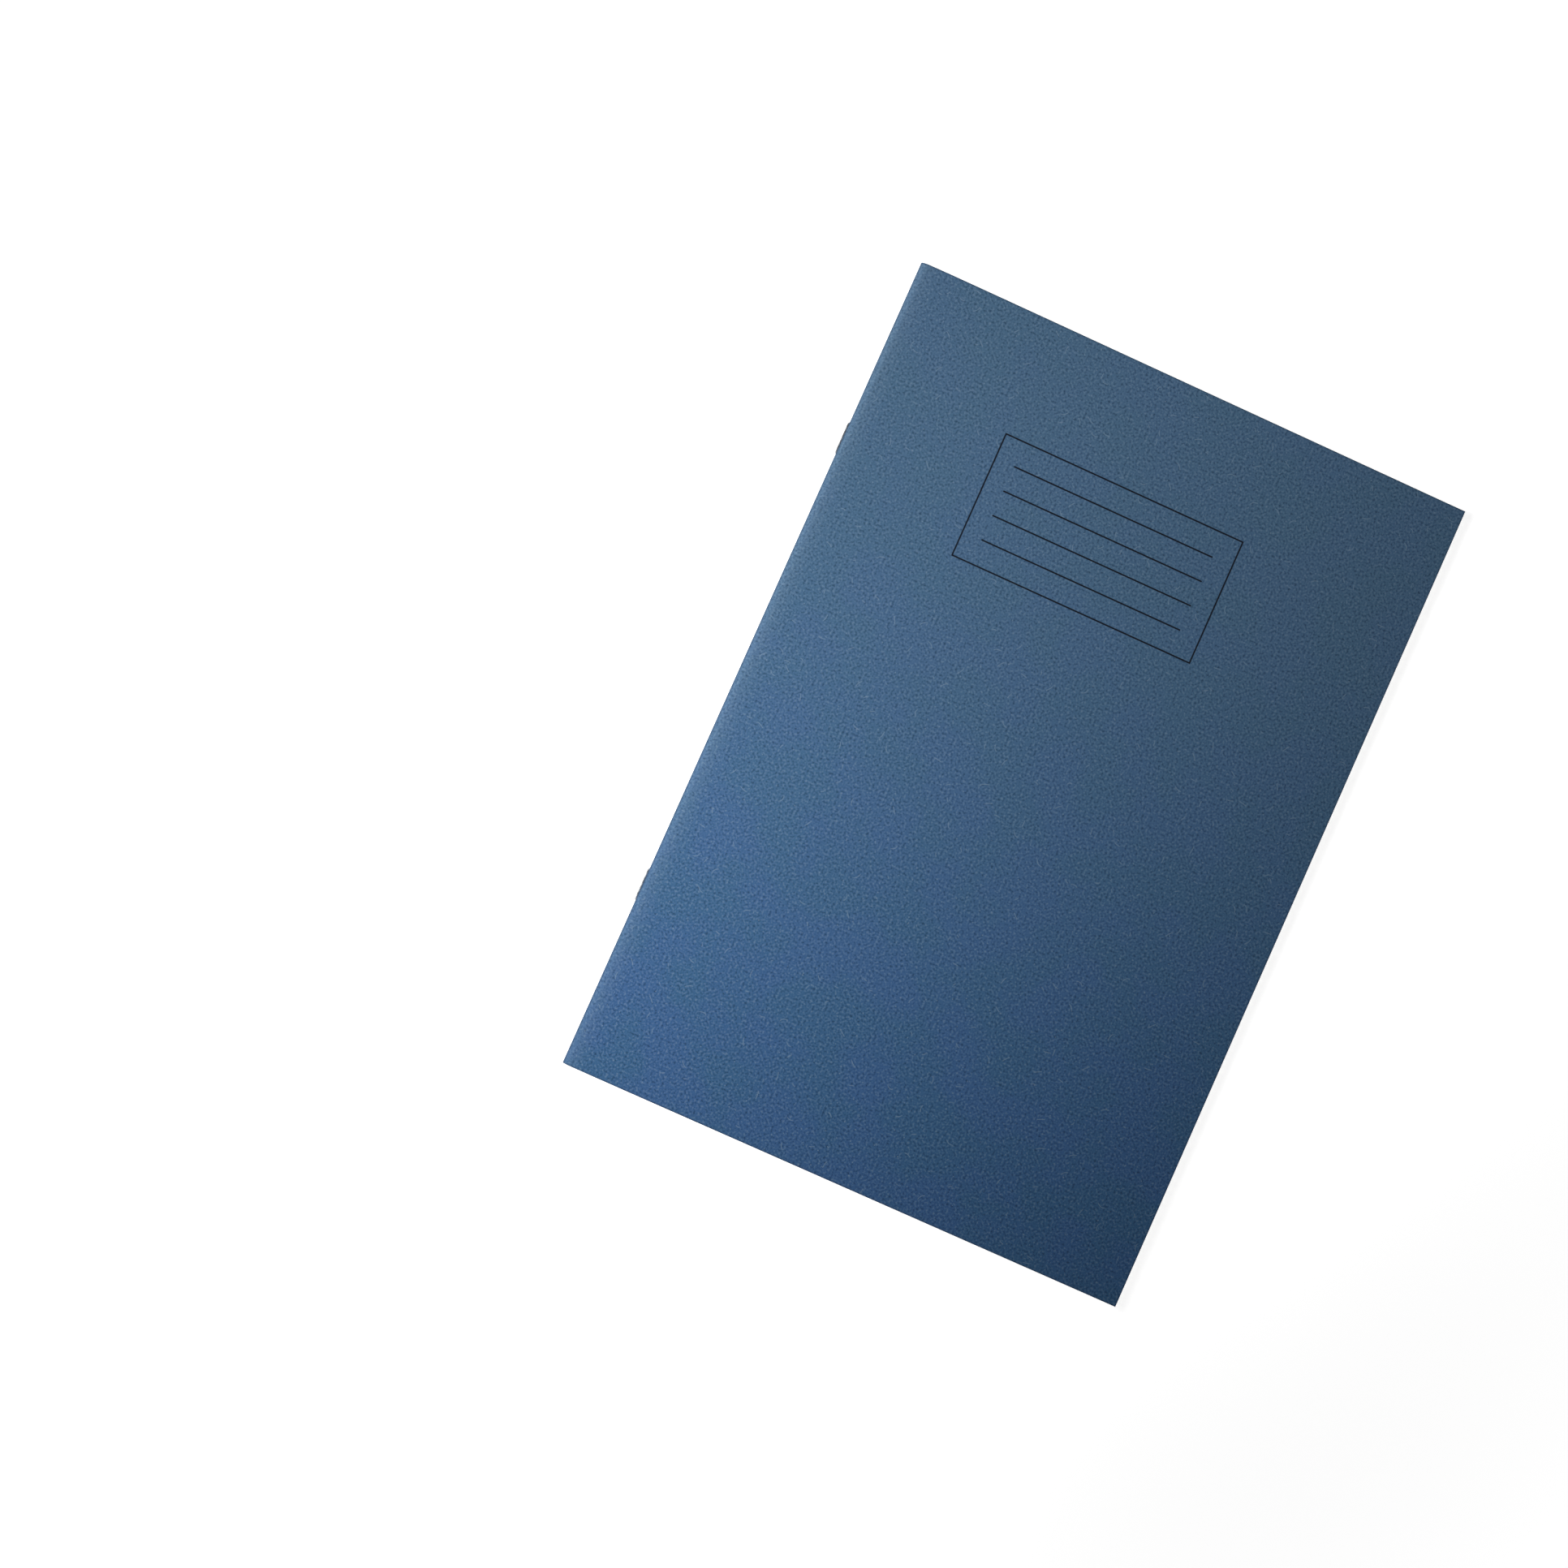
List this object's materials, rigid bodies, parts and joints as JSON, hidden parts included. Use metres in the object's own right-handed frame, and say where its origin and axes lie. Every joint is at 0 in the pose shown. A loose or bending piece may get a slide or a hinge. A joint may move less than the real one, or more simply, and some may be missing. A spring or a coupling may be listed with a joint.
{
  "type": "stapled exercise book",
  "caption": "Large stapled school exercise book in plain blue card with a ruled name panel; cover and margin-ruled leaves turn about a folded, wire-stapled spine.",
  "frame": {"origin": "under the middle of the closed book, on the outer face of its back cover", "axes": "+X from the spine to the fore-edge, +Y to the head of the page, +Z out of the front cover"},
  "size_m": [0.2056, 0.297, 0.005],
  "materials": {
    "blue_card": "matte dyed card",
    "writing_paper": "matte writing paper",
    "staple_wire": "drawn wire"
  },
  "bodies": {
    "cover_back": {"cover_back": "blue_card", "sheet_01_back_leaf": "writing_paper", "sheet_02_back_leaf": "writing_paper", "sheet_03_back_leaf": "writing_paper", "sheet_04_back_leaf": "writing_paper", "sheet_05_back_leaf": "writing_paper", "sheet_06_back_leaf": "writing_paper", "sheet_07_back_leaf": "writing_paper", "sheet_08_back_leaf": "writing_paper", "sheet_09_back_leaf": "writing_paper", "sheet_10_back_leaf": "writing_paper", "sheet_11_back_leaf": "writing_paper", "sheet_12_back_leaf": "writing_paper", "sheet_13_back_leaf": "writing_paper", "sheet_14_back_leaf": "writing_paper", "sheet_15_back_leaf": "writing_paper", "sheet_16_back_leaf": "writing_paper"},
    "spine": {"cover_spine": "blue_card", "staple_head": "staple_wire", "staple_tail": "staple_wire", "sheet_01_fold": "writing_paper", "sheet_02_fold": "writing_paper", "sheet_03_fold": "writing_paper", "sheet_04_fold": "writing_paper", "sheet_05_fold": "writing_paper", "sheet_06_fold": "writing_paper", "sheet_07_fold": "writing_paper", "sheet_08_fold": "writing_paper", "sheet_09_fold": "writing_paper", "sheet_10_fold": "writing_paper", "sheet_11_fold": "writing_paper", "sheet_12_fold": "writing_paper", "sheet_13_fold": "writing_paper", "sheet_14_fold": "writing_paper", "sheet_15_fold": "writing_paper", "sheet_16_fold": "writing_paper"},
    "sheet_01_front_leaf": {"sheet_01_front_leaf": "writing_paper"},
    "sheet_02_front_leaf": {"sheet_02_front_leaf": "writing_paper"},
    "sheet_03_front_leaf": {"sheet_03_front_leaf": "writing_paper"},
    "sheet_04_front_leaf": {"sheet_04_front_leaf": "writing_paper"},
    "sheet_05_front_leaf": {"sheet_05_front_leaf": "writing_paper"},
    "sheet_06_front_leaf": {"sheet_06_front_leaf": "writing_paper"},
    "sheet_07_front_leaf": {"sheet_07_front_leaf": "writing_paper"},
    "sheet_08_front_leaf": {"sheet_08_front_leaf": "writing_paper"},
    "sheet_09_front_leaf": {"sheet_09_front_leaf": "writing_paper"},
    "sheet_10_front_leaf": {"sheet_10_front_leaf": "writing_paper"},
    "sheet_11_front_leaf": {"sheet_11_front_leaf": "writing_paper"},
    "sheet_12_front_leaf": {"sheet_12_front_leaf": "writing_paper"},
    "sheet_13_front_leaf": {"sheet_13_front_leaf": "writing_paper"},
    "sheet_14_front_leaf": {"sheet_14_front_leaf": "writing_paper"},
    "sheet_15_front_leaf": {"sheet_15_front_leaf": "writing_paper"},
    "sheet_16_front_leaf": {"sheet_16_front_leaf": "writing_paper"},
    "cover_front": {"cover_front": "blue_card"}
  },
  "joints": [
    {"name": "turn_sheet_01_front_leaf", "type": "hinge", "parent": "cover_back", "child": "sheet_01_front_leaf", "pos_m": [-0.09974, 0, 0.00252], "axis": [0, -1, 0], "range_deg": [0, 179.5]},
    {"name": "turn_sheet_02_front_leaf", "type": "hinge", "parent": "cover_back", "child": "sheet_02_front_leaf", "pos_m": [-0.09974, 0, 0.00252], "axis": [0, -1, 0], "range_deg": [0, 179.5]},
    {"name": "turn_sheet_03_front_leaf", "type": "hinge", "parent": "cover_back", "child": "sheet_03_front_leaf", "pos_m": [-0.09974, 0, 0.00252], "axis": [0, -1, 0], "range_deg": [0, 179.5]},
    {"name": "turn_sheet_04_front_leaf", "type": "hinge", "parent": "cover_back", "child": "sheet_04_front_leaf", "pos_m": [-0.09974, 0, 0.00252], "axis": [0, -1, 0], "range_deg": [0, 179.49]},
    {"name": "turn_sheet_05_front_leaf", "type": "hinge", "parent": "cover_back", "child": "sheet_05_front_leaf", "pos_m": [-0.09974, 0, 0.00252], "axis": [0, -1, 0], "range_deg": [0, 179.48]},
    {"name": "turn_sheet_06_front_leaf", "type": "hinge", "parent": "cover_back", "child": "sheet_06_front_leaf", "pos_m": [-0.09974, 0, 0.00252], "axis": [0, -1, 0], "range_deg": [0, 179.47]},
    {"name": "turn_sheet_07_front_leaf", "type": "hinge", "parent": "cover_back", "child": "sheet_07_front_leaf", "pos_m": [-0.09974, 0, 0.00252], "axis": [0, -1, 0], "range_deg": [0, 179.47]},
    {"name": "turn_sheet_08_front_leaf", "type": "hinge", "parent": "cover_back", "child": "sheet_08_front_leaf", "pos_m": [-0.09974, 0, 0.00252], "axis": [0, -1, 0], "range_deg": [0, 179.46]},
    {"name": "turn_sheet_09_front_leaf", "type": "hinge", "parent": "cover_back", "child": "sheet_09_front_leaf", "pos_m": [-0.09974, 0, 0.00252], "axis": [0, -1, 0], "range_deg": [0, 179.45]},
    {"name": "turn_sheet_10_front_leaf", "type": "hinge", "parent": "cover_back", "child": "sheet_10_front_leaf", "pos_m": [-0.09974, 0, 0.00252], "axis": [0, -1, 0], "range_deg": [0, 179.45]},
    {"name": "turn_sheet_11_front_leaf", "type": "hinge", "parent": "cover_back", "child": "sheet_11_front_leaf", "pos_m": [-0.09974, 0, 0.00252], "axis": [0, -1, 0], "range_deg": [0, 179.44]},
    {"name": "turn_sheet_12_front_leaf", "type": "hinge", "parent": "cover_back", "child": "sheet_12_front_leaf", "pos_m": [-0.09974, 0, 0.00252], "axis": [0, -1, 0], "range_deg": [0, 179.43]},
    {"name": "turn_sheet_13_front_leaf", "type": "hinge", "parent": "cover_back", "child": "sheet_13_front_leaf", "pos_m": [-0.09974, 0, 0.00252], "axis": [0, -1, 0], "range_deg": [0, 179.42]},
    {"name": "turn_sheet_14_front_leaf", "type": "hinge", "parent": "cover_back", "child": "sheet_14_front_leaf", "pos_m": [-0.09974, 0, 0.00252], "axis": [0, -1, 0], "range_deg": [0, 179.42]},
    {"name": "turn_sheet_15_front_leaf", "type": "hinge", "parent": "cover_back", "child": "sheet_15_front_leaf", "pos_m": [-0.09974, 0, 0.00252], "axis": [0, -1, 0], "range_deg": [0, 179.41]},
    {"name": "turn_sheet_16_front_leaf", "type": "hinge", "parent": "cover_back", "child": "sheet_16_front_leaf", "pos_m": [-0.09974, 0, 0.00252], "axis": [0, -1, 0], "range_deg": [0, 179.4]},
    {"name": "turn_spine", "type": "hinge", "parent": "cover_back", "child": "spine", "pos_m": [-0.09974, 0, 0.00252], "axis": [0, -1, 0], "range_deg": [0, 89.76]},
    {"name": "open_cover", "type": "hinge", "parent": "sheet_01_front_leaf", "child": "cover_front", "pos_m": [-0.09974, 0, 0.00509], "axis": [0, -1, 0], "range_deg": [0, 179.5]}
  ],
  "couplings": [
    {"joint": "turn_sheet_02_front_leaf", "follows": "turn_sheet_01_front_leaf", "ratio": 0.99996},
    {"joint": "turn_sheet_03_front_leaf", "follows": "turn_sheet_01_front_leaf", "ratio": 0.99992},
    {"joint": "turn_sheet_04_front_leaf", "follows": "turn_sheet_01_front_leaf", "ratio": 0.99988},
    {"joint": "turn_sheet_05_front_leaf", "follows": "turn_sheet_01_front_leaf", "ratio": 0.99984},
    {"joint": "turn_sheet_06_front_leaf", "follows": "turn_sheet_01_front_leaf", "ratio": 0.9998},
    {"joint": "turn_sheet_07_front_leaf", "follows": "turn_sheet_01_front_leaf", "ratio": 0.99976},
    {"joint": "turn_sheet_08_front_leaf", "follows": "turn_sheet_01_front_leaf", "ratio": 0.99972},
    {"joint": "turn_sheet_09_front_leaf", "follows": "turn_sheet_01_front_leaf", "ratio": 0.99968},
    {"joint": "turn_sheet_10_front_leaf", "follows": "turn_sheet_01_front_leaf", "ratio": 0.99964},
    {"joint": "turn_sheet_11_front_leaf", "follows": "turn_sheet_01_front_leaf", "ratio": 0.9996},
    {"joint": "turn_sheet_12_front_leaf", "follows": "turn_sheet_01_front_leaf", "ratio": 0.99956},
    {"joint": "turn_sheet_13_front_leaf", "follows": "turn_sheet_01_front_leaf", "ratio": 0.99952},
    {"joint": "turn_sheet_14_front_leaf", "follows": "turn_sheet_01_front_leaf", "ratio": 0.99948},
    {"joint": "turn_sheet_15_front_leaf", "follows": "turn_sheet_01_front_leaf", "ratio": 0.99944},
    {"joint": "turn_sheet_16_front_leaf", "follows": "turn_sheet_01_front_leaf", "ratio": 0.9994},
    {"joint": "turn_spine", "follows": "turn_sheet_01_front_leaf", "ratio": 0.5}
  ]
}
